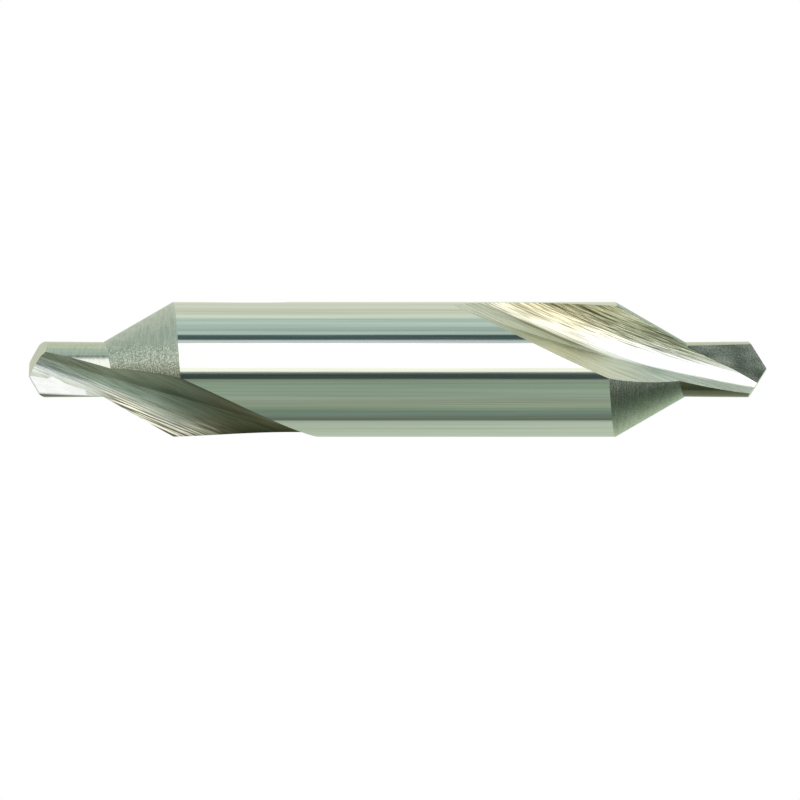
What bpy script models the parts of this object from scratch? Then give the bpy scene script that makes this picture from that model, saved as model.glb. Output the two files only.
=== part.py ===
"""Double-ended centre drill with 60 degree countersinks, ground from one round bar."""

import math

import bmesh
import bpy
from mathutils import Matrix, Vector

MM = 0.001

# Sizes of the bar and its two ends
OVERALL_LENGTH = 54.6 * MM
BODY_DIAMETER = 10.0 * MM
PILOT_DIAMETER = 4.15 * MM
PILOT_BACK_TAPER = 0.05 * MM
COUNTERSINK_ANGLE = 60.0
COUNTERSINK_RELIEF = 0.0065 * MM
RELIEF_START = -70.0
RELIEF_SPAN = 104.0
RELIEF_RESET = 168.0

# Ground point: slopes of each flank along its lip and behind it
LIP_ANGLE = -61.0
LIP_SLOPE = 0.525
CLEARANCE_SLOPE = 0.39

# Grinding wheel that cuts each flute while the bar turns slowly
WHEEL_RADIUS = 85.5 * MM
FLUTE_LEAD = 156.0 * MM
FRONT_BEVEL = 45.0
NOSE_RADIUS = 3.45 * MM
NOSE_END = 9.2
FLANK_RADIUS = 0.3 * MM
REAR_BEVEL = 45.0
WHEEL_HEIGHT = 9.0 * MM
SECTOR_START = -6.0
SECTOR_END = 19.5

# The wheel's setting at each end, left end then right end
WHEEL_SWIVELS = (15.1, 8.45)
WHEEL_SIDES = (-1.6, 6.2)
WHEEL_LIFTS = (0.75 * MM, 0.48 * MM)

# The same for the near and the far flute of each end. The left end's far flute runs out sooner.
WHEEL_STATIONS = ((5.03 * MM, -0.67 * MM), (-2.72 * MM, -2.72 * MM))
WHEEL_OFFSETS = ((-0.76 * MM, 0.73 * MM), (1.15 * MM, 1.15 * MM))

# Flat rake face along the pilot, left end then right end
RAKE_TILTS = (24.5, 9.0)
RAKE_RISES = (-0.136, 0.027)
RAKE_OFFSETS = (0.61 * MM, 0.635 * MM)
RAKE_PIVOT = 2.96 * MM
RAKE_LINES = (
    ((-0.5 * MM, 1.06 * MM), (2.67 * MM, -0.70 * MM), (5.5 * MM, -1.72 * MM)),
    ((-0.5 * MM, 1.63 * MM), (2.3 * MM, 0.05 * MM), (5.85 * MM, -1.64 * MM)),
)
RAKE_WALL_TILT = 45.0

# How the two ends differ in turn and pilot length, left end then right end
END_TURNS = (-20.8, 0.0)
PILOT_LENGTHS = (5.5 * MM, 5.9 * MM)

ENDS = (0, 1)
HALF_TURNS = (0, 180)

# How finely the round surfaces are made, and where their shading breaks
BAR_SEGMENTS = 100
SECTOR_STEPS = 44
NOSE_STEPS = 9
FLANK_STEPS = 3
CUT_TOLERANCE = 0.00001 * MM
SHARP_ANGLE = 14.0

STEEL_COLOUR = (0.50, 0.51, 0.48, 1.0)
STEEL_ROUGHNESS = 0.28

BODY_RADIUS = BODY_DIAMETER / 2
PILOT_RADIUS = PILOT_DIAMETER / 2
PILOT_BACK_RADIUS = PILOT_RADIUS - PILOT_BACK_TAPER
COUNTERSINK_LENGTH = (BODY_RADIUS - PILOT_BACK_RADIUS) / math.tan(math.radians(COUNTERSINK_ANGLE / 2))
RAKE_REACH = BODY_DIAMETER
AXIS = Vector((1, 0, 0))


def clear_scene():
    for thing in list(bpy.data.objects):
        bpy.data.objects.remove(thing, do_unlink=True)


def outward(angle):
    """Unit vector square to the axis, measured up from the side that faces -Y."""
    turn = math.radians(angle)
    return Vector((0, -math.cos(turn), math.sin(turn)))


def end_matrix(end):
    """The left end's frame starts at its tip. The right end is the same, turned half round."""
    half_turn = Matrix.Rotation(math.pi * end, 4, "Y")
    return half_turn @ Matrix.Translation((-OVERALL_LENGTH / 2, 0, 0))


def relief_at(angle):
    """How far the countersink lies back at this angle behind its cutting edge."""
    behind = (RELIEF_START - angle) % HALF_TURNS[1]
    if behind <= RELIEF_SPAN:
        return COUNTERSINK_RELIEF * behind
    if behind >= RELIEF_RESET:
        return 0.0
    share = (RELIEF_RESET - behind) / (RELIEF_RESET - RELIEF_SPAN)
    return COUNTERSINK_RELIEF * RELIEF_SPAN * share


def ring_points(end, station, radius, relieved):
    """One ring of points round the bar, listed by its angle in the scene's frame."""
    place = end_matrix(end)
    points = []
    for i in range(BAR_SEGMENTS):
        scene_angle = 360 * i / BAR_SEGMENTS
        angle = -scene_angle if end else scene_angle
        back = relief_at(angle - END_TURNS[end]) if relieved else 0.0
        points.append(place @ (AXIS * (station + back) + outward(angle) * radius))
    return points


def bar_rings():
    rings = []
    for end in ENDS:
        half = [
            ring_points(end, 0.0, PILOT_RADIUS, False),
            ring_points(end, PILOT_LENGTHS[end], PILOT_BACK_RADIUS, True),
            ring_points(end, PILOT_LENGTHS[end] + COUNTERSINK_LENGTH, BODY_RADIUS, True),
        ]
        rings += half[::-1] if end else half
    return rings


def grind_point(mesh, end):
    """Two flat flanks that meet in the chisel edge at the tip."""
    place = end_matrix(end)
    lip = LIP_ANGLE + END_TURNS[end]
    for half_turn in HALF_TURNS:
        along_lip = outward(lip + half_turn)
        behind_lip = outward(lip + half_turn - 90)
        normal = along_lip * LIP_SLOPE + behind_lip * CLEARANCE_SLOPE - AXIS
        found = bmesh.ops.bisect_plane(
            mesh,
            geom=mesh.verts[:] + mesh.edges[:] + mesh.faces[:],
            dist=CUT_TOLERANCE,
            plane_co=place.translation,
            plane_no=place.to_3x3() @ normal,
            clear_outer=True,
        )
        cut_edges = [item for item in found["geom_cut"] if isinstance(item, bmesh.types.BMEdge)]
        bmesh.ops.holes_fill(mesh, edges=cut_edges, sides=0)


def make_bar():
    mesh = bmesh.new()
    rings = [[mesh.verts.new(point) for point in ring] for ring in bar_rings()]
    for near, far in zip(rings, rings[1:]):
        for i in range(BAR_SEGMENTS):
            j = (i + 1) % BAR_SEGMENTS
            mesh.faces.new((near[i], near[j], far[j], far[i]))
    mesh.faces.new(rings[0])
    mesh.faces.new(rings[-1])
    for end in ENDS:
        grind_point(mesh, end)
    return finish_mesh(mesh, "centre_drill")


def finish_mesh(mesh, name):
    bmesh.ops.recalc_face_normals(mesh, faces=mesh.faces[:])
    data = bpy.data.meshes.new(name)
    mesh.to_mesh(data)
    mesh.free()
    made = bpy.data.objects.new(name, data)
    bpy.context.scene.collection.objects.link(made)
    return made


def wheel_outline():
    """Wheel section as pairs: distance along the wheel's axis, drop from its rim."""
    front = math.radians(FRONT_BEVEL)
    nose_end = math.radians(NOSE_END)
    rear = math.radians(REAR_BEVEL)
    points = []
    for i in range(NOSE_STEPS + 1):
        tilt = -front + (nose_end + front) * i / NOSE_STEPS
        points.append((NOSE_RADIUS * math.sin(tilt), NOSE_RADIUS * (1 - math.cos(tilt))))
    centre_side = (NOSE_RADIUS - FLANK_RADIUS) * math.sin(nose_end)
    centre_drop = NOSE_RADIUS + (FLANK_RADIUS - NOSE_RADIUS) * math.cos(nose_end)
    for i in range(1, FLANK_STEPS + 1):
        tilt = nose_end + (rear - nose_end) * i / FLANK_STEPS
        side = centre_side + FLANK_RADIUS * math.sin(tilt)
        points.append((side, centre_drop - FLANK_RADIUS * math.cos(tilt)))
    first_side, first_drop = points[0]
    last_side, last_drop = points[-1]
    front_top = first_side - (WHEEL_HEIGHT - first_drop) / math.tan(front)
    rear_top = last_side + (WHEEL_HEIGHT - last_drop) / math.tan(rear)
    return [(front_top, WHEEL_HEIGHT)] + points + [(rear_top, WHEEL_HEIGHT)]


def twisted(point):
    """Where a point of the wheel cuts once the bar's slow turn is added."""
    return Matrix.Rotation(math.tau * point.x / FLUTE_LEAD, 3, "X") @ point


def make_wheel(end, half_turn):
    """The part of the grinding wheel that reaches the bar."""
    far = HALF_TURNS.index(half_turn)
    side = WHEEL_SIDES[end] + half_turn
    swivel = math.radians(WHEEL_SWIVELS[end])
    away = outward(side)
    across = outward(side + 90)
    travel = AXIS * math.cos(swivel) - across * math.sin(swivel)
    spindle = AXIS * math.sin(swivel) + across * math.cos(swivel)
    height = WHEEL_LIFTS[end] + WHEEL_RADIUS
    station = AXIS * WHEEL_STATIONS[end][far]
    centre = station + away * height + spindle * WHEEL_OFFSETS[end][far]
    mesh = bmesh.new()
    rows = []
    for i in range(SECTOR_STEPS + 1):
        turn = math.radians(SECTOR_START + (SECTOR_END - SECTOR_START) * i / SECTOR_STEPS)
        spoke = travel * math.sin(turn) - away * math.cos(turn)
        row = [centre + spindle * s + spoke * (WHEEL_RADIUS - drop) for s, drop in wheel_outline()]
        rows.append([mesh.verts.new(twisted(point)) for point in row])
    close_rows(mesh, rows)
    mesh.transform(end_matrix(end))
    return as_cutter(finish_mesh(mesh, "flute_wheel"))


def close_rows(mesh, rows):
    """Skins rows of points that each go once round a section, and caps both ends."""
    count = len(rows[0])
    for near, far in zip(rows, rows[1:]):
        for i in range(count):
            j = (i + 1) % count
            mesh.faces.new((near[i], near[j], far[j], far[i]))
    mesh.faces.new(rows[0])
    mesh.faces.new(rows[-1])


def rake_point(end, turn, station, height):
    """A point of the rake face, from its place along the drill and across the face."""
    tilt = math.radians(RAKE_TILTS[end])
    rise = RAKE_RISES[end] * (station - RAKE_PIVOT)
    depth = (RAKE_OFFSETS[end] - height * math.sin(tilt)) / math.cos(tilt) + rise
    return AXIS * station + outward(turn) * depth + outward(turn + 90) * height


def make_rake_cutter(end, half_turn):
    turn = END_TURNS[end] + half_turn
    inward = outward(turn + RAKE_TILTS[end] - 90) * RAKE_REACH
    upward = outward(turn + RAKE_TILTS[end]) * RAKE_REACH
    wall = outward(turn + 90 - RAKE_WALL_TILT) * RAKE_REACH
    mesh = bmesh.new()
    rows = []
    for station, height in RAKE_LINES[end]:
        place = rake_point(end, turn, station, height)
        section = (place, place + inward, place + inward + upward, place + wall + upward, place + wall)
        rows.append([mesh.verts.new(point) for point in section])
    close_rows(mesh, rows)
    mesh.transform(end_matrix(end))
    return as_cutter(finish_mesh(mesh, "rake_cutter"))


def as_cutter(made):
    made.hide_render = True
    made.display_type = "WIRE"
    return made


def cut(target, cutter):
    modifier = target.modifiers.new(cutter.name, "BOOLEAN")
    modifier.operation = "DIFFERENCE"
    modifier.solver = "EXACT"
    modifier.object = cutter


def steel():
    material = bpy.data.materials.new("high_speed_steel")
    material.use_nodes = True
    shader = material.node_tree.nodes["Principled BSDF"]
    shader.inputs["Base Color"].default_value = STEEL_COLOUR
    shader.inputs["Metallic"].default_value = 1.0
    shader.inputs["Roughness"].default_value = STEEL_ROUGHNESS
    return material


def build():
    clear_scene()
    drill = make_bar()
    for end in ENDS:
        for half_turn in HALF_TURNS:
            cut(drill, make_wheel(end, half_turn))
            cut(drill, make_rake_cutter(end, half_turn))
    drill.data.materials.append(steel())
    drill.data.shade_smooth()
    drill.data.set_sharp_from_angle(angle=math.radians(SHARP_ANGLE))


build()
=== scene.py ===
import math

import bmesh
import bpy
import numpy as np
from mathutils import Matrix, Vector


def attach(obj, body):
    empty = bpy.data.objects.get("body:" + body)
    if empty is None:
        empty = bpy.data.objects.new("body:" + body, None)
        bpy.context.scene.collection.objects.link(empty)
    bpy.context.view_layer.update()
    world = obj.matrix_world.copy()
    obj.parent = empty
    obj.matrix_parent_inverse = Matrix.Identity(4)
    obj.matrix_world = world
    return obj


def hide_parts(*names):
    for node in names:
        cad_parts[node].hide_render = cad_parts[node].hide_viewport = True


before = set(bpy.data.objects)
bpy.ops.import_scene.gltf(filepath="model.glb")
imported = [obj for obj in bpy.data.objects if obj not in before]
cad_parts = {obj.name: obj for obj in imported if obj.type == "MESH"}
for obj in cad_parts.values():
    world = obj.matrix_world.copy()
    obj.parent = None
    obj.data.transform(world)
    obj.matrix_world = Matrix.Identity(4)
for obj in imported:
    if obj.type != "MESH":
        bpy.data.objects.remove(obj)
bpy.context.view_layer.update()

MM = 0.001

# Camera: the photograph looks square at the side
PIXELS_PER_MM = 13.5
PICTURE_SIZE = 800
DRILL_MIDDLE_PIXEL = (397.7, 369.4)
CAMERA_DISTANCE = 1.2
SENSOR = 36.0
NEAREST_SEEN = 0.01
FARTHEST_SEEN = 20.0

# Sizes of the bar and its two ends, as in the part
OVERALL_LENGTH = 54.6 * MM
BODY_DIAMETER = 10.0 * MM
PILOT_DIAMETER = 4.15 * MM
PILOT_BACK_TAPER = 0.05 * MM
COUNTERSINK_ANGLE = 60.0
COUNTERSINK_RELIEF = 0.0065 * MM
RELIEF_START = -70.0
RELIEF_SPAN = 104.0
RELIEF_RESET = 168.0

# Ground point: slopes of each flank along its lip and behind it
LIP_ANGLE = -61.0
LIP_SLOPE = 0.525
CLEARANCE_SLOPE = 0.39

# Grinding wheel that cuts each flute while the bar turns slowly
WHEEL_RADIUS = 85.5 * MM
FLUTE_LEAD = 156.0 * MM
FRONT_BEVEL = 45.0
NOSE_RADIUS = 3.45 * MM
NOSE_END = 9.2
FLANK_RADIUS = 0.3 * MM
REAR_BEVEL = 45.0
WHEEL_HEIGHT = 9.0 * MM
SECTOR_START = -6.0
SECTOR_END = 19.5

# The wheel's setting at each end, left end then right end
WHEEL_SWIVELS = (15.1, 8.45)
WHEEL_SIDES = (-1.6, 6.2)
WHEEL_LIFTS = (0.75 * MM, 0.48 * MM)

# The same for the near and the far flute of each end. The left end's far flute runs out sooner.
WHEEL_STATIONS = ((5.03 * MM, -0.67 * MM), (-2.72 * MM, -2.72 * MM))
WHEEL_OFFSETS = ((-0.76 * MM, 0.73 * MM), (1.15 * MM, 1.15 * MM))

# Flat rake face along the pilot
RAKE_TILTS = (24.5, 9.0)
RAKE_RISES = (-0.136, 0.027)
RAKE_PIVOT = 2.96 * MM
RAKE_LINES = (
    ((-0.5 * MM, 1.06 * MM), (2.67 * MM, -0.70 * MM), (5.5 * MM, -1.72 * MM)),
    ((-0.5 * MM, 1.63 * MM), (2.3 * MM, 0.05 * MM), (5.85 * MM, -1.64 * MM)),
)
RAKE_WALL_TILT = 45.0

# Ground sizes that differ a little between the two ends, left end then right end
END_TURNS = (-20.8, 0.0)
PILOT_LENGTHS = (5.5 * MM, 5.9 * MM)
RAKE_OFFSETS = (0.61 * MM, 0.635 * MM)

# Left end then right end, and the near and the far flute of each
ENDS = (0, 1)
HALF_TURNS = (0, 180)

# Steps of the mesh, finer than in the part
BAR_SEGMENTS = 360
SECTOR_STEPS = 80
NOSE_STEPS = 12
FLANK_STEPS = 14
BEVEL_STEPS = 12
CUT_TOLERANCE = 0.00001 * MM
SLIVER = 0.0005 * MM

# Kinds of ground surface
SHANK, COUNTERSINK, PILOT, POINT, FLUTE, RAKE = range(6)

BODY_RADIUS = BODY_DIAMETER / 2
PILOT_RADIUS = PILOT_DIAMETER / 2
PILOT_BACK_RADIUS = PILOT_RADIUS - PILOT_BACK_TAPER
COUNTERSINK_SLOPE = math.tan(math.radians(COUNTERSINK_ANGLE / 2))
COUNTERSINK_LENGTH = (BODY_RADIUS - PILOT_BACK_RADIUS) / COUNTERSINK_SLOPE
RAKE_REACH = BODY_DIAMETER
AXIS = Vector((1, 0, 0))

# Marks that tell the flutes apart in the third number of the grind attribute
FAR_MARK = 20
RIGHT_MARK = 40

# A tint that changes nothing, and the white of plain light
PLAIN = (1.0, 1.0, 1.0)

# Colours of the steel, as (place, colour) along a ramp
RIGHT_FLUTE_COLOURS = (
    (0.0, (0.96, 0.91, 0.73)), (0.26, (0.96, 0.92, 0.76)), (0.36, (0.98, 0.96, 0.88)),
    (0.44, PLAIN), (0.58, PLAIN), (0.62, (0.86, 0.90, 0.86)), (1.0, (0.86, 0.88, 0.83)),
)
# Painted shade: the left flutes are darkened, most on the cutting side
LEFT_FLUTE_SHADE_COLOURS = (
    (0.0, (0.56, 0.57, 0.49)), (0.40, (0.56, 0.58, 0.52)), (0.48, (0.74, 0.775, 0.77)),
    (0.58, (0.74, 0.775, 0.77)), (0.62, (0.84, 0.90, 0.84)), (1.0, (0.84, 0.90, 0.84)),
)
# Painted dark reflection: a dark line beside the right heel, lighter again towards the heel
RUNOUT_DARK_REFLECTION_COLOURS = (
    (0.0, PLAIN), (0.395, (0.90, 0.88, 0.80)), (0.408, (0.32, 0.31, 0.23)),
    (0.422, (0.34, 0.34, 0.27)), (0.445, (0.62, 0.63, 0.54)), (0.50, (0.75, 0.76, 0.68)),
    (0.57, (0.84, 0.85, 0.79)), (0.61, (1.0, 1.0, 0.97)), (1.0, PLAIN),
)
HEAT_COLOURS = (
    (0.0, (0.94, 0.97, 1.0)), (0.05, (0.95, 0.98, 1.0)), (0.11, (0.80, 0.85, 0.87)),
    (0.17, (0.53, 0.57, 0.55)), (0.22, (0.385, 0.375, 0.31)), (0.27, (0.33, 0.305, 0.23)),
    (0.37, (0.375, 0.33, 0.22)), (0.42, (0.5, 0.46, 0.40)), (0.5, PLAIN),
    (0.76, (1.0, 0.98, 0.92)), (0.84, (0.97, 0.99, 1.0)), (0.90, (0.91, 0.96, 1.0)),
    (1.0, (0.98, 0.99, 1.0)),
)
CALM_COLOURS = ((0.36, (0.72, 0.73, 0.71)), (0.62, (1.0, 1.0, 0.99)))
SCRATCHED_COLOURS = (
    (0.40, (0.20, 0.20, 0.16)), (0.46, (0.50, 0.50, 0.43)), (0.52, (0.86, 0.85, 0.80)),
    (0.57, (1.0, 1.0, 0.96)),
)
# Fresh scratches with painted highlights: dark and bright cream streaks on the left flutes' cutting
# side
FRESH_SCRATCH_HIGHLIGHT_COLOURS = ((0.44, (0.14, 0.135, 0.10)), (0.49, (0.45, 0.45, 0.36)), (0.54, (0.98, 0.97, 0.82)))
CLEARANCE_COLOURS = ((0.0, PLAIN), (0.6, (0.48, 0.46, 0.37)), (1.0, (0.28, 0.27, 0.20)))
SPECKLED_COLOURS = ((0.42, (0.72, 0.72, 0.70)), (0.60, (1.32, 1.32, 1.30)))
# Darker, mottled colours of the right rake faces
DARKER_RAKE_COLOURS = (
    (0.38, (0.12, 0.15, 0.135)), (0.50, (0.225, 0.26, 0.24)), (0.62, (0.40, 0.44, 0.42)),
)
# Darker, greener tint of the right end's countersinks
DARKER_RIGHT_COUNTERSINK = (0.80, 0.86, 0.84)

# Grey levels, as (place, level) along a ramp
BRIGHT_RAKE_LEVELS = ((0.0, 0.40), (0.06, 0.45), (0.13, 0.74))
# Painted shade close under the rim of the left flutes
RIM_SHADE_LEVELS = ((0.0, 0.45), (0.3, 0.72), (0.9, 1.0))
# How strongly the fresh scratches and painted highlights show under the bar
FRESH_HIGHLIGHT_LEVELS = ((0.0, 1.0), (0.3, 0.95), (0.85, 0.0))
RIGHT_SCRATCH_DEPTHS = ((0.0, 1.0), (0.34, 0.88), (0.43, 0.30), (0.58, 0.16), (1.0, 0.3))
FLUTE_ROUGHNESS = ((0.0, 0.24), (0.38, 0.20), (0.48, 0.17), (0.57, 0.20), (0.62, 0.40), (1.0, 0.42))
BURNT_ROUGHNESS = ((0.0, 0.0), (0.25, 0.04), (0.38, 0.16), (0.75, 0.18), (0.95, 0.0))

# Where looks fade in or out, each from where it is off to where it is full
# The painted dark reflection beside the right heel fades in and out along the drill
RUNOUT_FADE_IN = (6.5 * MM, 9.5 * MM)
RUNOUT_FADE_OUT = (16.0 * MM, 13.0 * MM)
RIM_SHADE_FADE_IN = (-21.5 * MM, -18.0 * MM)
# Where the fresh scratches with painted highlights fade in and out along the left flutes
FRESH_HIGHLIGHT_FADE_IN = (-22.5 * MM, -20.5 * MM)
FRESH_HIGHLIGHT_FADE_OUT = (-13.0 * MM, -16.0 * MM)
POLISHED_SPAN = (21.0 * MM, 23.5 * MM)
RIGHT_END_SPAN = (-1.0 * MM, 1.0 * MM)
SPECKLED_SPAN = (2.2 * MM, 1.4 * MM)
CLEARANCE_SPAN = (-0.3 * MM * MM, 0.7 * MM * MM)

# The same in millimetres, across the flute and under the bar
FLUTE_WIDTH_SPAN = (-3.0, 3.0)
FRESH_HIGHLIGHT_SIDE_SPAN = (-0.1, -0.5)
FRESH_HIGHLIGHT_DEPTH_SPAN = (0.0, 1.5)

# The heat colours reach this far to each side of the middle
HEAT_REACH = 24.0 * MM

# The painted dark reflection line beside the right heel moves over by this share of the width between
# two places
RUNOUT_LINE = (7.4 * MM, 17.4 * MM)
RUNOUT_DRIFT = -0.235
RUNOUT_TAIL = 0.45

# Noise scales along the grinding, across it and from flute to flute
BROAD_SCRATCHES = (0.10, 2.2, 1)
SCRATCH_LINES = (0.26, 8, 1)
THIN_SCRATCHES = (0.5, 18, 1)
SCRATCH_GRAINS = (5, 9, 1)
FRESH_SCRATCHES = (0.25, 10.5, 1)
RAKE_PATCHES = (0.5, 0.7, 1)
RAKE_SPECKS = (7, 9, 1)

# Noise scales along the axis, and for the two numbers that give the direction round it
CONE_SPECKS = (9, 30, 30)

# How much each noise counts, in the order in which it is summed
STREAK_WEIGHTS = (0.14, 0.65, 0.35)
STREAK_OFFSET = -0.07
CALM_WEIGHTS = (0.4, 1.0)
CALM_OFFSET = -0.2
GROOVE_WEIGHTS = (0.3, 0.5, 0.2)
RAKE_WEIGHTS = (0.65, 0.35)
STEEL_COLOUR_WEIGHTS = (0.6, 0.4)
STEEL_RELIEF_WEIGHTS = (1.0, 0.4, 0.8)

# Slant, depth and gloss of the scratches
SCRATCH_SLANT = 0.135
POLISHED_SHARE = 0.3
LEFT_DEPTH_SPAN = (0.0, 0.6)
LEFT_DEPTHS = (0.34, 0.22)
NOISE_MIDDLE = (0.3, 0.7)
LINE_ROUGHNESS = (-0.06, 0.06)
FLUTE_RELIEF = 0.07 * MM

# Sockets of the mix node that take its share and its two colours, and the one that gives a colour
MIX_INPUTS = (0, 6, 7)
MIX_OUTPUT = 2

# Studio: light by degrees round the drill, with 0 in front, 90 above and -90 below
STUDIO_STRENGTH = 1.6
WARM = (0.50, 0.53, 0.43)
LOW_WARM = (0.37, 0.43, 0.345)
PALE_GREEN = (0.50, 0.58, 0.48)
GREEN = (0.36, 0.45, 0.385)
MIST = (0.41, 0.50, 0.465)
BLUE_GREEN = (0.28, 0.375, 0.345)
LOW_GREEN = (0.225, 0.295, 0.21)
LOW_OLIVE = (0.25, 0.285, 0.215)
LOW_TEAL = (0.135, 0.18, 0.14)
DARK = (0.035, 0.052, 0.048)
BLUE_DARK = (0.05, 0.08, 0.08)
SILVER = (0.44, 0.50, 0.50)
GREY = (0.33, 0.37, 0.36)
CREAM = (0.86, 0.88, 0.76)
WHITE = (1.10, 1.10, 1.09)
PALE = (0.95, 0.95, 0.94)
MIDDLE_BANDS = (
    (-106, LOW_WARM), (-99, (0.28, 0.33, 0.27)), (-97.5, (0.10, 0.12, 0.09)),
    (-88, LOW_TEAL), (-76, (0.16, 0.22, 0.17)), (-68, LOW_GREEN), (-60, LOW_OLIVE),
    (-50, (0.26, 0.32, 0.25)), (-30, (0.235, 0.315, 0.23)), (-18, (0.195, 0.24, 0.185)),
    (-15.5, DARK), (-8, DARK), (-5, (0.2, 0.22, 0.2)), (-3.5, CREAM), (2, CREAM), (5, WHITE),
    (44.5, WHITE), (46, GREY), (48, SILVER), (50.5, SILVER), (52, BLUE_DARK),
    (60.5, BLUE_DARK), (62.5, MIST), (66, MIST), (70, BLUE_GREEN), (78, GREEN), (84, MIST),
    (92, GREEN), (97, GREEN), (99, PALE_GREEN), (106, PALE_GREEN), (110, WARM),
)
RIGHT_BANDS = (
    (-130, (0.43, 0.485, 0.36)), (-97, (0.27, 0.32, 0.23)), (-70, (0.11, 0.155, 0.115)),
    (-50, (0.23, 0.26, 0.185)), (-34, (0.40, 0.41, 0.325)), (-22, (0.72, 0.71, 0.63)),
    (-12, (0.93, 0.93, 0.88)), (-2, PALE), (42, PALE), (50, (0.60, 0.63, 0.58)),
    (60, (0.46, 0.50, 0.42)), (85, (0.43, 0.47, 0.39)), (115, (0.43, 0.47, 0.39)),
)
LEFT_BANDS = (
    (-130, (0.22, 0.23, 0.17)), (-100, (0.18, 0.185, 0.125)), (-60, (0.17, 0.175, 0.12)),
    (-30, (0.18, 0.19, 0.135)), (-14, (0.19, 0.20, 0.155)), (-5, (0.42, 0.41, 0.32)),
    (5, (0.75, 0.74, 0.64)), (20, (0.74, 0.77, 0.70)), (43, (0.50, 0.56, 0.50)),
    (60, (0.40, 0.47, 0.42)), (93, (0.40, 0.47, 0.41)), (115, (0.47, 0.50, 0.43)),
)

# Sideways part of the direction over which the bands of each end take over
TOWARDS_RIGHT = (0.03, 0.15)
TOWARDS_LEFT = (-0.03, -0.15)

# Level of all the light, from straight left to straight right
FAR_END_LEVELS = ((0.05, 0.74), (0.35, 1.0), (0.68, 1.0), (0.82, 0.48), (0.95, 0.23))

# Floor
FLOOR_REACH = 300 * MM
FLOOR_CORNERS = ((-1, -1), (1, -1), (1, 1), (-1, 1))
FLOOR_HEIGHT = -40 * MM
FLOOR_COLOUR = (0.95, 0.95, 0.95)
FLOOR_ROUGHNESS = 0.9
FLOOR_LIFT = 0.08


# Shape, as in the part but finer

def outward(angle):
    turn = math.radians(angle)
    return Vector((0, -math.cos(turn), math.sin(turn)))


def end_matrix(end):
    half_turn = Matrix.Rotation(math.pi * end, 4, "Y")
    return half_turn @ Matrix.Translation((-OVERALL_LENGTH / 2, 0, 0))


def relief_at(angle):
    behind = (RELIEF_START - angle) % 180
    if behind <= RELIEF_SPAN:
        return COUNTERSINK_RELIEF * behind
    if behind >= RELIEF_RESET:
        return 0.0
    share = (RELIEF_RESET - behind) / (RELIEF_RESET - RELIEF_SPAN)
    return COUNTERSINK_RELIEF * RELIEF_SPAN * share


def ring_points(end, station, radius, relieved):
    place = end_matrix(end)
    points = []
    for i in range(BAR_SEGMENTS):
        scene_angle = 360 * i / BAR_SEGMENTS
        angle = -scene_angle if end else scene_angle
        back = relief_at(angle - END_TURNS[end]) if relieved else 0.0
        points.append(place @ (AXIS * (station + back) + outward(angle) * radius))
    return points


def bar_rings():
    rings = []
    for end in ENDS:
        half = [
            ring_points(end, 0.0, PILOT_RADIUS, False),
            ring_points(end, PILOT_LENGTHS[end], PILOT_BACK_RADIUS, True),
            ring_points(end, PILOT_LENGTHS[end] + COUNTERSINK_LENGTH, BODY_RADIUS, True),
        ]
        rings += half[::-1] if end else half
    return rings


def grind_point(mesh, end):
    place = end_matrix(end)
    lip = LIP_ANGLE + END_TURNS[end]
    for half_turn in HALF_TURNS:
        along_lip = outward(lip + half_turn)
        behind_lip = outward(lip + half_turn - 90)
        normal = along_lip * LIP_SLOPE + behind_lip * CLEARANCE_SLOPE - AXIS
        found = bmesh.ops.bisect_plane(
            mesh,
            geom=mesh.verts[:] + mesh.edges[:] + mesh.faces[:],
            dist=CUT_TOLERANCE,
            plane_co=place.translation,
            plane_no=place.to_3x3() @ normal,
            clear_outer=True,
        )
        cut_edges = [item for item in found["geom_cut"] if isinstance(item, bmesh.types.BMEdge)]
        for face in bmesh.ops.holes_fill(mesh, edges=cut_edges, sides=0)["faces"]:
            face.material_index = POINT


def make_bar():
    mesh = bmesh.new()
    rings = [[mesh.verts.new(point) for point in ring] for ring in bar_rings()]
    zones = (PILOT, COUNTERSINK, SHANK, COUNTERSINK, PILOT)
    for near, far, zone in zip(rings, rings[1:], zones):
        for i in range(BAR_SEGMENTS):
            j = (i + 1) % BAR_SEGMENTS
            mesh.faces.new((near[i], near[j], far[j], far[i])).material_index = zone
    mesh.faces.new(rings[0]).material_index = POINT
    mesh.faces.new(rings[-1]).material_index = POINT
    for end in ENDS:
        grind_point(mesh, end)
    return finish_mesh(mesh, "drill")


def finish_mesh(mesh, name):
    bmesh.ops.recalc_face_normals(mesh, faces=mesh.faces[:])
    data = bpy.data.meshes.new(name)
    mesh.to_mesh(data)
    mesh.free()
    made = bpy.data.objects.new(name, data)
    bpy.context.scene.collection.objects.link(made)
    return made


def profile_parts():
    """Where the wheel's section changes: start of the nose arc, its end, end of the flank arc."""
    front = math.radians(FRONT_BEVEL)
    nose_end = math.radians(NOSE_END)
    rear = math.radians(REAR_BEVEL)
    centre_side = (NOSE_RADIUS - FLANK_RADIUS) * math.sin(nose_end)
    centre_drop = NOSE_RADIUS + (FLANK_RADIUS - NOSE_RADIUS) * math.cos(nose_end)
    return front, nose_end, rear, centre_side, centre_drop


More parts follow.
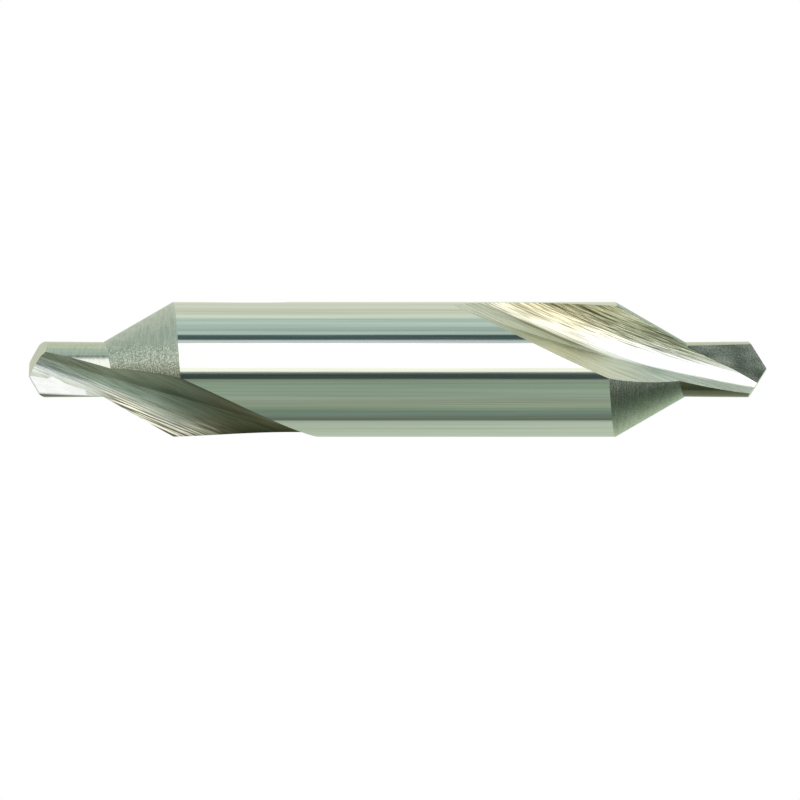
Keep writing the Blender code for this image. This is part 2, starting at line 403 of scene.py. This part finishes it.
def wheel_outline():
    front, nose_end, rear, centre_side, centre_drop = profile_parts()
    points = []
    for i in range(NOSE_STEPS + 1):
        tilt = -front + (nose_end + front) * i / NOSE_STEPS
        points.append((NOSE_RADIUS * math.sin(tilt), NOSE_RADIUS * (1 - math.cos(tilt))))
    for i in range(1, FLANK_STEPS + 1):
        tilt = nose_end + (rear - nose_end) * i / FLANK_STEPS
        side = centre_side + FLANK_RADIUS * math.sin(tilt)
        points.append((side, centre_drop - FLANK_RADIUS * math.cos(tilt)))
    first_side, first_drop = points[0]
    last_side, last_drop = points[-1]
    front_top = first_side - (WHEEL_HEIGHT - first_drop) / math.tan(front)
    rear_top = last_side + (WHEEL_HEIGHT - last_drop) / math.tan(rear)
    return [(front_top, WHEEL_HEIGHT)] + points + [(rear_top, WHEEL_HEIGHT)]


def wheel_axes(end, half_turn):
    """Centre, spindle, travel and away directions of one wheel, in the frame of its end."""
    far = HALF_TURNS.index(half_turn)
    side = WHEEL_SIDES[end] + half_turn
    swivel = math.radians(WHEEL_SWIVELS[end])
    away = outward(side)
    across = outward(side + 90)
    travel = AXIS * math.cos(swivel) - across * math.sin(swivel)
    spindle = AXIS * math.sin(swivel) + across * math.cos(swivel)
    height = WHEEL_LIFTS[end] + WHEEL_RADIUS
    station = AXIS * WHEEL_STATIONS[end][far]
    centre = station + away * height + spindle * WHEEL_OFFSETS[end][far]
    return centre, spindle, travel, away


def twisted(point):
    """Where a point of the wheel cuts once the bar's slow turn is added."""
    return Matrix.Rotation(math.tau * point.x / FLUTE_LEAD, 3, "X") @ point


def split_bevels(row):
    """The same row with its two long bevels split, so that the twist leaves no ridges on them."""
    shares = [i / BEVEL_STEPS for i in range(BEVEL_STEPS)]
    front = [row[0].lerp(row[1], share) for share in shares]
    rear = [row[-1].lerp(row[-2], share) for share in shares]
    return front + row[1:-1] + rear[::-1]


def make_wheel(end, half_turn):
    centre, spindle, travel, away = wheel_axes(end, half_turn)
    outline = wheel_outline()
    mesh = bmesh.new()
    rows = []
    for i in range(SECTOR_STEPS + 1):
        turn = math.radians(SECTOR_START + (SECTOR_END - SECTOR_START) * i / SECTOR_STEPS)
        spoke = travel * math.sin(turn) - away * math.cos(turn)
        row = [centre + spindle * side + spoke * (WHEEL_RADIUS - drop) for side, drop in outline]
        twisted_row = [twisted(point) for point in row]
        rows.append([mesh.verts.new(point) for point in split_bevels(twisted_row)])
    close_rows(mesh, rows)
    mesh.transform(end_matrix(end))
    return finish_mesh(mesh, "flute_wheel")


def close_rows(mesh, rows):
    count = len(rows[0])
    for near, far in zip(rows, rows[1:]):
        for i in range(count):
            j = (i + 1) % count
            mesh.faces.new((near[i], near[j], far[j], far[i]))
    mesh.faces.new(rows[0])
    mesh.faces.new(rows[-1])


def rake_point(end, turn, station, height):
    tilt = math.radians(RAKE_TILTS[end])
    rise = RAKE_RISES[end] * (station - RAKE_PIVOT)
    depth = (RAKE_OFFSETS[end] - height * math.sin(tilt)) / math.cos(tilt) + rise
    return AXIS * station + outward(turn) * depth + outward(turn + 90) * height


def make_rake_cutter(end, half_turn):
    turn = END_TURNS[end] + half_turn
    inward = outward(turn + RAKE_TILTS[end] - 90) * RAKE_REACH
    upward = outward(turn + RAKE_TILTS[end]) * RAKE_REACH
    wall = outward(turn + 90 - RAKE_WALL_TILT) * RAKE_REACH
    mesh = bmesh.new()
    rows = []
    for station, height in RAKE_LINES[end]:
        place = rake_point(end, turn, station, height)
        section = (place, place + inward, place + inward + upward, place + wall + upward, place + wall)
        rows.append([mesh.verts.new(point) for point in section])
    close_rows(mesh, rows)
    mesh.transform(end_matrix(end))
    return finish_mesh(mesh, "rake_cutter")


def cut(target, cutter, material):
    cutter.data.materials.append(material)
    modifier = target.modifiers.new(cutter.name, "BOOLEAN")
    modifier.operation = "DIFFERENCE"
    modifier.solver = "EXACT"
    modifier.material_mode = "TRANSFER"
    modifier.object = cutter


def make_drill(materials):
    """The finished drill as one mesh, with one material for each kind of ground surface."""
    bar = make_bar()
    for zone in (SHANK, COUNTERSINK, PILOT, POINT):
        bar.data.materials.append(materials[zone])
    cutters = []
    for end in ENDS:
        for half_turn in HALF_TURNS:
            wheel = make_wheel(end, half_turn)
            rake_cutter = make_rake_cutter(end, half_turn)
            cut(bar, wheel, materials[FLUTE])
            cut(bar, rake_cutter, materials[RAKE])
            cutters += [wheel, rake_cutter]
    depsgraph = bpy.context.evaluated_depsgraph_get()
    data = bpy.data.meshes.new_from_object(bar.evaluated_get(depsgraph))
    for used in cutters + [bar]:
        bpy.data.objects.remove(used, do_unlink=True)
    mesh = bmesh.new()
    mesh.from_mesh(data)
    bmesh.ops.remove_doubles(mesh, verts=mesh.verts[:], dist=SLIVER)
    bmesh.ops.dissolve_degenerate(mesh, edges=mesh.edges[:], dist=SLIVER)
    mesh.to_mesh(data)
    mesh.free()
    drill = bpy.data.objects.new("ground_drill", data)
    bpy.context.scene.collection.objects.link(drill)
    return drill


# Exact shading directions and grinding directions for each ground surface

def local_points(points, end):
    back = np.array(end_matrix(end).inverted())
    return points @ back[:3, :3].T + back[:3, 3]


def turned_normals(points, end, zone):
    """Directions square to the relieved countersink or the tapered pilot, in the end's frame."""
    radius = np.hypot(points[:, 1], points[:, 2])
    radial = np.column_stack([np.zeros(len(points)), points[:, 1] / radius, points[:, 2] / radius])
    around = np.column_stack([np.zeros(len(points)), radial[:, 2], -radial[:, 1]])
    if zone == PILOT:
        along = PILOT_BACK_TAPER / PILOT_LENGTHS[end]
        return radial + along * np.array([1, 0, 0])
    angle = np.degrees(np.arctan2(points[:, 2], -points[:, 1])) - END_TURNS[end]
    behind = (RELIEF_START - angle) % 180
    relief_slope = np.where(behind <= RELIEF_SPAN, -math.degrees(COUNTERSINK_RELIEF), 0)
    sideways = COUNTERSINK_SLOPE * relief_slope / radius
    return radial - COUNTERSINK_SLOPE * np.array([1, 0, 0]) + sideways[:, None] * around


def turned(vectors, angles):
    """Each vector turned about the axis by its own angle."""
    cosine = np.cos(angles)
    sine = np.sin(angles)
    x, y, z = vectors.T
    return np.column_stack([x, y * cosine - z * sine, y * sine + z * cosine])


def section_at(side):
    """Tilt of the wheel's section, and its drop from the rim, at places across the wheel."""
    front, nose_end, rear, centre_side, centre_drop = profile_parts()
    nose_start_side = -NOSE_RADIUS * math.sin(front)
    nose_end_side = NOSE_RADIUS * math.sin(nose_end)
    flank_end_side = centre_side + FLANK_RADIUS * math.sin(rear)
    nose = np.clip(side, nose_start_side, nose_end_side) / NOSE_RADIUS
    flank = (np.clip(side, nose_end_side, flank_end_side) - centre_side) / FLANK_RADIUS
    nose_drop = NOSE_RADIUS * (1 - np.sqrt(1 - nose ** 2))
    flank_drop = centre_drop - FLANK_RADIUS * np.sqrt(1 - flank ** 2)
    on_nose = side < nose_end_side
    tilt = np.where(on_nose, np.arcsin(nose), np.arcsin(flank))
    drop = np.where(on_nose, nose_drop, flank_drop)
    drop += np.where(side < nose_start_side, (nose_start_side - side) * math.tan(front), 0)
    drop += np.where(side > flank_end_side, (side - flank_end_side) * math.tan(rear), 0)
    return tilt, drop


def wheel_readings(points, end, half_turn):
    """For points near one flute: distance from the wheel, normal, and place along and across."""
    centre, spindle, travel, away = map(np.array, wheel_axes(end, half_turn))
    turns = math.tau * points[:, 0] / FLUTE_LEAD
    straight = turned(points, -turns)
    offset = straight - centre
    side = offset @ spindle
    spoke = offset - side[:, None] * spindle
    reach = np.linalg.norm(spoke, axis=1)
    spoke = spoke / reach[:, None]
    tilt, drop = section_at(side)
    miss = np.abs(reach - WHEEL_RADIUS + drop) * np.cos(tilt)
    normal = -(spoke * np.cos(tilt)[:, None] + spindle * np.sin(tilt)[:, None])
    shear = (normal[:, 2] * straight[:, 1] - normal[:, 1] * straight[:, 2]) * math.tau / FLUTE_LEAD
    normal = turned(normal, turns)
    normal[:, 0] -= shear
    along = np.arctan2(spoke @ travel, -(spoke @ away)) * WHEEL_RADIUS
    return miss, normal, np.column_stack([along, side])


def read_values(items, name, width=1, kind=float):
    """One property of every vertex, corner or face, as an array."""
    values = np.empty(len(items) * width, kind)
    items.foreach_get(name, values)
    return values.reshape(-1, width) if width > 1 else values


def flute_readings(corners, centres, end):
    """Normals of the wheel whose flute each face lies in, and each corner's place in that flute."""
    middles = local_points(centres, end)
    near_miss, far_miss = (wheel_readings(middles, end, half_turn)[0] for half_turn in HALF_TURNS)
    is_near = (near_miss <= far_miss)[:, None]
    points = local_points(corners, end)
    near, far = (wheel_readings(points, end, half_turn)[1:] for half_turn in HALF_TURNS)
    normals, places = (np.where(is_near, *pair) for pair in zip(near, far))
    marks = end * RIGHT_MARK + np.where(is_near, 0, FAR_MARK)
    return normals, np.hstack([places / MM, marks])


def dress_mesh(drill, slots):
    """Sets exact normals, and stores where each corner lies along and across the grinding."""
    data = drill.data
    corners = read_values(data.vertices, "co", 3)[read_values(data.loops, "vertex_index", kind=int)]
    totals = read_values(data.polygons, "loop_total", kind=int)
    normals = np.repeat(read_values(data.polygons, "normal", 3), totals, axis=0)
    centres = np.repeat(read_values(data.polygons, "center", 3), totals, axis=0)
    slot_of_face = read_values(data.polygons, "material_index", kind=int)
    zones = np.repeat(np.array(slots)[slot_of_face], totals)
    at_end = (centres[:, 0] > 0).astype(int)
    grind = np.zeros_like(corners)
    shank = zones == SHANK
    normals[shank] = corners[shank] * (0, 1, 1)
    for end in ENDS:
        spin = np.array(end_matrix(end))[:3, :3]
        for zone in (PILOT, COUNTERSINK):
            mine = (zones == zone) & (at_end == end)
            normals[mine] = turned_normals(local_points(corners[mine], end), end, zone) @ spin.T
        mine = ((zones == FLUTE) | (zones == RAKE)) & (at_end == end)
        made, grind[mine] = flute_readings(corners[mine], centres[mine], end)
        is_flute = zones[mine] == FLUTE
        normals[mine] = np.where(is_flute[:, None], made @ spin.T, normals[mine])
    normals /= np.linalg.norm(normals, axis=1)[:, None]
    data.attributes.new("grind", "FLOAT_VECTOR", "CORNER").data.foreach_set("vector", grind.ravel())
    data.shade_smooth()
    data.normals_split_custom_set(normals.tolist())


# Shader nodes

def new_material(name):
    """A material, its node tree and its surface shader."""
    material = bpy.data.materials.new(name)
    material.use_nodes = True
    tree = material.node_tree
    return material, tree, tree.nodes["Principled BSDF"]


def node(tree, kind, **settings):
    made = tree.nodes.new(kind)
    for key, value in settings.items():
        setattr(made, key, value)
    return made


def connect(tree, value, socket):
    """Links a node's output to a socket, or sets the socket to a number, a vector or a colour."""
    if isinstance(value, bpy.types.NodeSocket):
        tree.links.new(value, socket)
    elif socket.type == "RGBA":
        socket.default_value = (*value, 1)
    else:
        socket.default_value = value


def maths(tree, operation, *values):
    made = node(tree, "ShaderNodeMath", operation=operation)
    for value, socket in zip(values, made.inputs):
        connect(tree, value, socket)
    return made.outputs[0]


def vector_maths(tree, operation, *values):
    made = node(tree, "ShaderNodeVectorMath", operation=operation)
    for value, socket in zip(values, made.inputs):
        connect(tree, value, socket)
    is_number = operation in ("LENGTH", "DOT_PRODUCT")
    return made.outputs["Value" if is_number else "Vector"]


def product_of(tree, first, *others):
    for other in others:
        first = maths(tree, "MULTIPLY", first, other)
    return first


def weighted_sum(tree, values, weights, offset=0.0):
    """The sum of values times their weights, on top of an offset."""
    total = offset
    for value, weight in zip(values, weights):
        total = maths(tree, "MULTIPLY_ADD", value, weight, total)
    return total


def remap(tree, value, span, to_span):
    """A value carried from one span to another, and held at the ends."""
    made = node(tree, "ShaderNodeMapRange")
    sockets = ("Value", "From Min", "From Max", "To Min", "To Max")
    for name, given in zip(sockets, (value, *span, *to_span)):
        connect(tree, given, made.inputs[name])
    return made.outputs["Result"]


def share_of(tree, value, span):
    """0 where a span starts, 1 where it ends."""
    return remap(tree, value, span, (0.0, 1.0))


def ramp(tree, value, stops):
    made = node(tree, "ShaderNodeValToRGB")
    elements = made.color_ramp.elements
    for i, (place, colour) in enumerate(stops):
        element = elements[i] if i < len(elements) else elements.new(place)
        element.position = place
        element.color = (*colour, 1)
    connect(tree, value, made.inputs["Fac"])
    return made.outputs["Color"]


def grey_ramp(tree, value, stops):
    return ramp(tree, value, [(place, (level, level, level)) for place, level in stops])


def mixed(tree, share, first, second, blend="MIX"):
    made = node(tree, "ShaderNodeMix", data_type="RGBA", blend_type=blend)
    for value, i in zip((share, first, second), MIX_INPUTS):
        connect(tree, value, made.inputs[i])
    return made.outputs[MIX_OUTPUT]


def tinted(tree, colour, tint):
    return mixed(tree, 1.0, colour, tint, "MULTIPLY")


def noise(tree, vector, scales, detail=2.0, roughness=0.6):
    """Noise with its own scale along each axis."""
    made = node(tree, "ShaderNodeTexNoise")
    connect(tree, vector_maths(tree, "MULTIPLY", vector, scales), made.inputs["Vector"])
    connect(tree, 1.0, made.inputs["Scale"])
    connect(tree, detail, made.inputs["Detail"])
    connect(tree, roughness, made.inputs["Roughness"])
    return made.outputs["Fac"]


def bump(tree, height, distance, shader):
    made = node(tree, "ShaderNodeBump")
    connect(tree, 1.0, made.inputs["Strength"])
    connect(tree, distance, made.inputs["Distance"])
    connect(tree, height, made.inputs["Height"])
    connect(tree, made.outputs["Normal"], shader.inputs["Normal"])


def component(tree, vector, axis):
    parts = node(tree, "ShaderNodeSeparateXYZ")
    connect(tree, vector, parts.inputs[0])
    return parts.outputs[axis]


# Places on the drill that the materials read

def drill_place(tree):
    return node(tree, "ShaderNodeTexCoord").outputs["Object"]


def along_the_drill(tree):
    return component(tree, drill_place(tree), 0)


def round_the_axis(tree):
    """Millimetres along the axis, and the direction round it as two numbers without a seam."""
    place = drill_place(tree)
    around = vector_maths(tree, "NORMALIZE", vector_maths(tree, "MULTIPLY", place, (0, 1, 1)))
    return vector_maths(tree, "MULTIPLY_ADD", place, (1 / MM, 0, 0), around)


def grinding_place(tree):
    """Millimetres along and across the grinding, and the mark of the flute."""
    return node(tree, "ShaderNodeAttribute", attribute_name="grind").outputs["Vector"]


def scratch_place(tree):
    """The grinding place, turned so that scratches run a little steeper than the flute."""
    where = grinding_place(tree)
    slant = node(tree, "ShaderNodeCombineXYZ")
    steeper = maths(tree, "MULTIPLY", component(tree, where, 0), SCRATCH_SLANT)
    connect(tree, steeper, slant.inputs["Y"])
    return vector_maths(tree, "ADD", where, slant.outputs[0])


def across_the_flute(tree):
    """0 at the cutting side, 1 at the heel."""
    return share_of(tree, component(tree, grinding_place(tree), 1), FLUTE_WIDTH_SPAN)


def right_end(tree):
    """0 in the left end's flutes, 1 in the right end's."""
    return share_of(tree, component(tree, grinding_place(tree), 2), (FAR_MARK, RIGHT_MARK))


def under_the_bar(tree):
    """Millimetres below the unfluted left end."""
    place = drill_place(tree)
    start = PILOT_LENGTHS[0] - OVERALL_LENGTH / 2
    countersink = (start, start + COUNTERSINK_LENGTH)
    outer = remap(tree, component(tree, place, 0), countersink, (PILOT_RADIUS / MM, BODY_RADIUS / MM))
    radius = vector_maths(tree, "LENGTH", vector_maths(tree, "MULTIPLY", place, (0, 1, 1)))
    return maths(tree, "MULTIPLY_ADD", radius, -1 / MM, outer)


def behind_the_lip(tree):
    """Millimetres behind the two ground facets of the left point."""
    lip = LIP_ANGLE + END_TURNS[0]
    facet = outward(lip) * LIP_SLOPE + outward(lip - 90) * CLEARANCE_SLOPE
    slope = maths(tree, "ABSOLUTE", vector_maths(tree, "DOT_PRODUCT", drill_place(tree), facet))
    half_length = OVERALL_LENGTH / 2
    behind_tip = remap(tree, along_the_drill(tree), (-half_length, 0.0), (0.0, half_length / MM))
    return maths(tree, "MULTIPLY_ADD", slope, -1 / MM, behind_tip)


# Materials

def steel(name, colours, roughness, coarse, thin, grain, relief, place=round_the_axis, tint=None):
    """Ground steel: streaks of colour, gloss and relief along the grinding, and a fine grain."""
    material, tree, shader = new_material(name)
    where = place(tree)
    coarse_streaks = noise(tree, where, coarse, detail=3.0)
    thin_streaks = noise(tree, where, thin)
    grains = noise(tree, where, grain)
    streaks = weighted_sum(tree, (coarse_streaks, thin_streaks), STEEL_COLOUR_WEIGHTS)
    colour = ramp(tree, streaks, colours)
    if tint:
        colour = tinted(tree, colour, tint(tree))
    connect(tree, colour, shader.inputs["Base Color"])
    connect(tree, remap(tree, thin_streaks, NOISE_MIDDLE, roughness), shader.inputs["Roughness"])
    connect(tree, 1.0, shader.inputs["Metallic"])
    height = weighted_sum(tree, (coarse_streaks, thin_streaks, grains), STEEL_RELIEF_WEIGHTS)
    bump(tree, height, relief, shader)
    return material


def right_flute_tint_and_dark_reflection(tree):
    """Straw-coloured on the cutting side, with a painted dark reflection line beside the heel that
    fades both ways.
    """
    across = across_the_flute(tree)
    along = along_the_drill(tree)
    drift = remap(tree, along, RUNOUT_LINE, (0.0, RUNOUT_DRIFT))
    # The painted dark reflection line
    line = ramp(tree, maths(tree, "ADD", across, drift), RUNOUT_DARK_REFLECTION_COLOURS)
    tail = remap(tree, along, RUNOUT_FADE_IN, (RUNOUT_TAIL, 1.0))
    shown = product_of(tree, tail, share_of(tree, along, RUNOUT_FADE_OUT))
    return tinted(tree, ramp(tree, across, RIGHT_FLUTE_COLOURS), mixed(tree, shown, PLAIN, line))


def left_flute_rim_shade(tree):
    """Painted shade: darker close under the bar's surface, away from the left pilot."""
    left_end = maths(tree, "SUBTRACT", 1.0, right_end(tree))
    shown = product_of(tree, share_of(tree, along_the_drill(tree), RIM_SHADE_FADE_IN), left_end)
    return mixed(tree, shown, PLAIN, grey_ramp(tree, under_the_bar(tree), RIM_SHADE_LEVELS))


def fresh_scratch_highlight_strip(tree):
    """Where the left end's flutes are freshly scratched and carry painted highlights, beside the
    countersink's edges.
    """
    along = along_the_drill(tree)
    depth = share_of(tree, under_the_bar(tree), FRESH_HIGHLIGHT_DEPTH_SPAN)
    cutting_side = share_of(tree, component(tree, grinding_place(tree), 1), FRESH_HIGHLIGHT_SIDE_SPAN)
    from_tip = share_of(tree, along, FRESH_HIGHLIGHT_FADE_IN)
    from_body = share_of(tree, along, FRESH_HIGHLIGHT_FADE_OUT)
    return product_of(tree, grey_ramp(tree, depth, FRESH_HIGHLIGHT_LEVELS), cutting_side, from_tip, from_body)


def flute_tint_and_painted_light(tree):
    """Each end's colours, bluish by the pilots, and burnt brown where the left flutes run out, with
    painted shade in the left flutes, a painted dark reflection in the right ones and fresh scratches
    with painted highlights.
    """
    # Painted shade in the left flutes, a painted dark reflection in the right ones
    left = ramp(tree, across_the_flute(tree), LEFT_FLUTE_SHADE_COLOURS)
    ends = mixed(tree, right_end(tree), left, right_flute_tint_and_dark_reflection(tree))
    heated = share_of(tree, along_the_drill(tree), (-HEAT_REACH, HEAT_REACH))
    body = tinted(tree, tinted(tree, ends, ramp(tree, heated, HEAT_COLOURS)), left_flute_rim_shade(tree))
    scratches = noise(tree, scratch_place(tree), FRESH_SCRATCHES, detail=1.0, roughness=0.5)
    return mixed(tree, fresh_scratch_highlight_strip(tree), body, ramp(tree, scratches, FRESH_SCRATCH_HIGHLIGHT_COLOURS))


def scratch_depth(tree):
    """How deep the scratches are: deepest on the right end's cutting side, polished by its pilot."""
    across = across_the_flute(tree)
    polished = remap(tree, along_the_drill(tree), POLISHED_SPAN, (1.0, POLISHED_SHARE))
    right = product_of(tree, grey_ramp(tree, across, RIGHT_SCRATCH_DEPTHS), polished)
    left = remap(tree, across, LEFT_DEPTH_SPAN, LEFT_DEPTHS)
    return mixed(tree, right_end(tree), left, right)


def flute_steel():
    """Flutes show separate wheel scratches, duller where they are burnt."""
    material, tree, shader = new_material("ground_flute")
    where = scratch_place(tree)
    broad = noise(tree, where, BROAD_SCRATCHES, roughness=0.5)
    lines = noise(tree, where, SCRATCH_LINES)
    thin = noise(tree, where, THIN_SCRATCHES, detail=1.0, roughness=0.5)
    grains = noise(tree, where, SCRATCH_GRAINS, detail=3.0)
    streaks = weighted_sum(tree, (broad, lines, thin), STREAK_WEIGHTS, STREAK_OFFSET)
    mottled = weighted_sum(tree, (grains, streaks), CALM_WEIGHTS, CALM_OFFSET)
    depth = scratch_depth(tree)
    calm = ramp(tree, mottled, CALM_COLOURS)
    colour = mixed(tree, depth, calm, ramp(tree, streaks, SCRATCHED_COLOURS))
    connect(tree, tinted(tree, colour, flute_tint_and_painted_light(tree)), shader.inputs["Base Color"])
    matt = grey_ramp(tree, across_the_flute(tree), FLUTE_ROUGHNESS)
    left_half = share_of(tree, along_the_drill(tree), (-HEAT_REACH, 0.0))
    burnt = grey_ramp(tree, left_half, BURNT_ROUGHNESS)
    uneven = remap(tree, lines, NOISE_MIDDLE, LINE_ROUGHNESS)
    roughness = maths(tree, "ADD", maths(tree, "ADD", matt, burnt), uneven)
    connect(tree, roughness, shader.inputs["Roughness"])
    connect(tree, 1.0, shader.inputs["Metallic"])
    grooves = weighted_sum(tree, (broad, lines, thin), GROOVE_WEIGHTS)
    bump(tree, product_of(tree, grooves, depth), FLUTE_RELIEF, shader)
    return material


def pilot_tint(tree):
    """Darker clearance behind each margin of the pilot."""
    place = drill_place(tree)
    both = product_of(tree, component(tree, place, 1), component(tree, place, 2))
    return ramp(tree, share_of(tree, both, CLEARANCE_SPAN), CLEARANCE_COLOURS)


def countersink_tint(tree):
    """Speckled from a little above the middle of the left end down, and darker on the right end."""
    specks = noise(tree, round_the_axis(tree), CONE_SPECKS)
    low = share_of(tree, component(tree, drill_place(tree), 2), SPECKLED_SPAN)
    left = mixed(tree, low, PLAIN, ramp(tree, specks, SPECKLED_COLOURS))
    on_right = share_of(tree, along_the_drill(tree), RIGHT_END_SPAN)
    return mixed(tree, on_right, left, DARKER_RIGHT_COUNTERSINK)


def rake_tint(tree):
    """The left rake faces are bright with a thin greyer rim, the right ones darker and mottled."""
    from_rim = maths(tree, "MINIMUM", behind_the_lip(tree), under_the_bar(tree))
    bright = grey_ramp(tree, from_rim, BRIGHT_RAKE_LEVELS)
    where = grinding_place(tree)
    patches = noise(tree, where, RAKE_PATCHES, detail=1.0, roughness=0.5)
    specks = noise(tree, where, RAKE_SPECKS)
    darker_mottled = ramp(tree, weighted_sum(tree, (patches, specks), RAKE_WEIGHTS), DARKER_RAKE_COLOURS)
    return mixed(tree, right_end(tree), bright, darker_mottled)


def make_materials():
    """One steel for each kind of ground surface, in the order of the surfaces."""
    return [
        steel(
            "ground_shank", colours=((0.34, (0.54, 0.56, 0.53)), (0.66, (0.77, 0.78, 0.76))),
            roughness=(0.05, 0.09), coarse=(0.02, 9, 9), thin=(0.05, 45, 45), grain=(0.3, 60, 60),
            relief=0.0006 * MM,
        ),
        steel(
            "ground_countersink", colours=((0.3, (0.43, 0.47, 0.42)), (0.7, (0.69, 0.73, 0.68))),
            roughness=(0.20, 0.34), coarse=(5, 3, 3), thin=(14, 9, 9), grain=(10, 36, 36),
            relief=0.03 * MM, tint=countersink_tint,
        ),
        steel(
            "ground_pilot", colours=((0.3, (0.50, 0.51, 0.46)), (0.7, (0.64, 0.66, 0.60))),
            roughness=(0.14, 0.24), coarse=(4, 3, 3), thin=(14, 3, 3), grain=(8, 16, 16),
            relief=0.004 * MM, tint=pilot_tint,
        ),
        steel(
            "ground_point", colours=((0.3, (0.60, 0.60, 0.50)), (0.7, (0.72, 0.72, 0.62))),
            roughness=(0.15, 0.25), coarse=(2, 3, 3), thin=(6, 12, 12), grain=(9, 20, 20),
            relief=0.003 * MM,
        ),
        flute_steel(),
        steel(
            "ground_rake", colours=((0.36, (0.80, 0.81, 0.80)), (0.62, (0.95, 0.96, 0.95))),
            roughness=(0.18, 0.30), coarse=(0.5, 2.5, 1), thin=(0.8, 14, 1), grain=(7, 9, 1),
            relief=0.010 * MM, place=grinding_place, tint=rake_tint,
        ),
    ]


# Studio: pale floor, soft light all round, white behind

def band_stops(bands):
    """Stops along a ramp that runs once round the drill, for bands given by degrees."""
    return [((degrees + 180) / 360, colour) for degrees, colour in bands]


def studio_light(tree):
    """Bands of light round the drill, with other bands towards each end."""
    direction = node(tree, "ShaderNodeTexCoord").outputs["Generated"]
    sideways, away, up = (component(tree, direction, axis) for axis in range(3))
    angle = maths(tree, "ARCTAN2", up, maths(tree, "MULTIPLY", away, -1.0))
    turn = share_of(tree, angle, (-math.pi, math.pi))
    light = ramp(tree, turn, band_stops(MIDDLE_BANDS))
    for span, bands in ((TOWARDS_RIGHT, RIGHT_BANDS), (TOWARDS_LEFT, LEFT_BANDS)):
        end_light = ramp(tree, turn, band_stops(bands))
        light = mixed(tree, share_of(tree, sideways, span), light, end_light)
    far_ends = grey_ramp(tree, share_of(tree, sideways, (-1.0, 1.0)), FAR_END_LEVELS)
    return tinted(tree, light, far_ends)


def studio_world():
    """Reflections see the bands of light. The camera and soft light see plain white."""
    world = bpy.data.worlds.new("studio")
    bpy.context.scene.world = world
    world.use_nodes = True
    tree = world.node_tree
    tree.nodes.clear()
    plain = node(tree, "ShaderNodeBackground")
    connect(tree, PLAIN, plain.inputs["Color"])
    lit = node(tree, "ShaderNodeBackground")
    connect(tree, studio_light(tree), lit.inputs["Color"])
    connect(tree, STUDIO_STRENGTH, lit.inputs["Strength"])
    reflected = node(tree, "ShaderNodeLightPath").outputs["Is Glossy Ray"]
    mix = node(tree, "ShaderNodeMixShader")
    for value, socket in zip((reflected, plain.outputs[0], lit.outputs[0]), mix.inputs):
        connect(tree, value, socket)
    output = node(tree, "ShaderNodeOutputWorld")
    connect(tree, mix.outputs[0], output.inputs["Surface"])


def make_floor():
    """A pale floor that the camera sees a little brighter, and that reflections leave out."""
    data = bpy.data.meshes.new("floor")
    corners = [(x * FLOOR_REACH, y * FLOOR_REACH, FLOOR_HEIGHT) for x, y in FLOOR_CORNERS]
    data.from_pydata(corners, [], [range(len(corners))])
    floor = bpy.data.objects.new("floor", data)
    bpy.context.scene.collection.objects.link(floor)
    material, tree, shader = new_material("pale_floor")
    connect(tree, FLOOR_COLOUR, shader.inputs["Base Color"])
    connect(tree, FLOOR_ROUGHNESS, shader.inputs["Roughness"])
    connect(tree, 0.0, shader.inputs["Specular IOR Level"])
    connect(tree, PLAIN, shader.inputs["Emission Color"])
    seen = node(tree, "ShaderNodeLightPath").outputs["Is Camera Ray"]
    connect(tree, maths(tree, "MULTIPLY", seen, FLOOR_LIFT), shader.inputs["Emission Strength"])
    data.materials.append(material)
    floor.visible_glossy = False


def make_camera():
    data = bpy.data.cameras.new("camera")
    camera = bpy.data.objects.new("camera", data)
    bpy.context.scene.collection.objects.link(camera)
    middle = PICTURE_SIZE / 2
    across = (middle - DRILL_MIDDLE_PIXEL[0]) / PIXELS_PER_MM * MM
    up = (DRILL_MIDDLE_PIXEL[1] - middle) / PIXELS_PER_MM * MM
    camera.location = (across, -CAMERA_DISTANCE, up)
    camera.rotation_euler = (math.pi / 2, 0, 0)
    data.sensor_width = SENSOR
    data.lens = SENSOR * CAMERA_DISTANCE / (PICTURE_SIZE / PIXELS_PER_MM * MM)
    data.clip_start = NEAREST_SEEN
    data.clip_end = FARTHEST_SEEN
    bpy.context.scene.camera = camera


def build():
    bpy.context.scene.view_settings.view_transform = "Standard"
    make_camera()
    materials = make_materials()
    drill = make_drill(materials)
    slots = [materials.index(material) for material in drill.data.materials]
    dress_mesh(drill, slots)
    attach(drill, "root")
    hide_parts("centre_drill")
    make_floor()
    studio_world()


build()
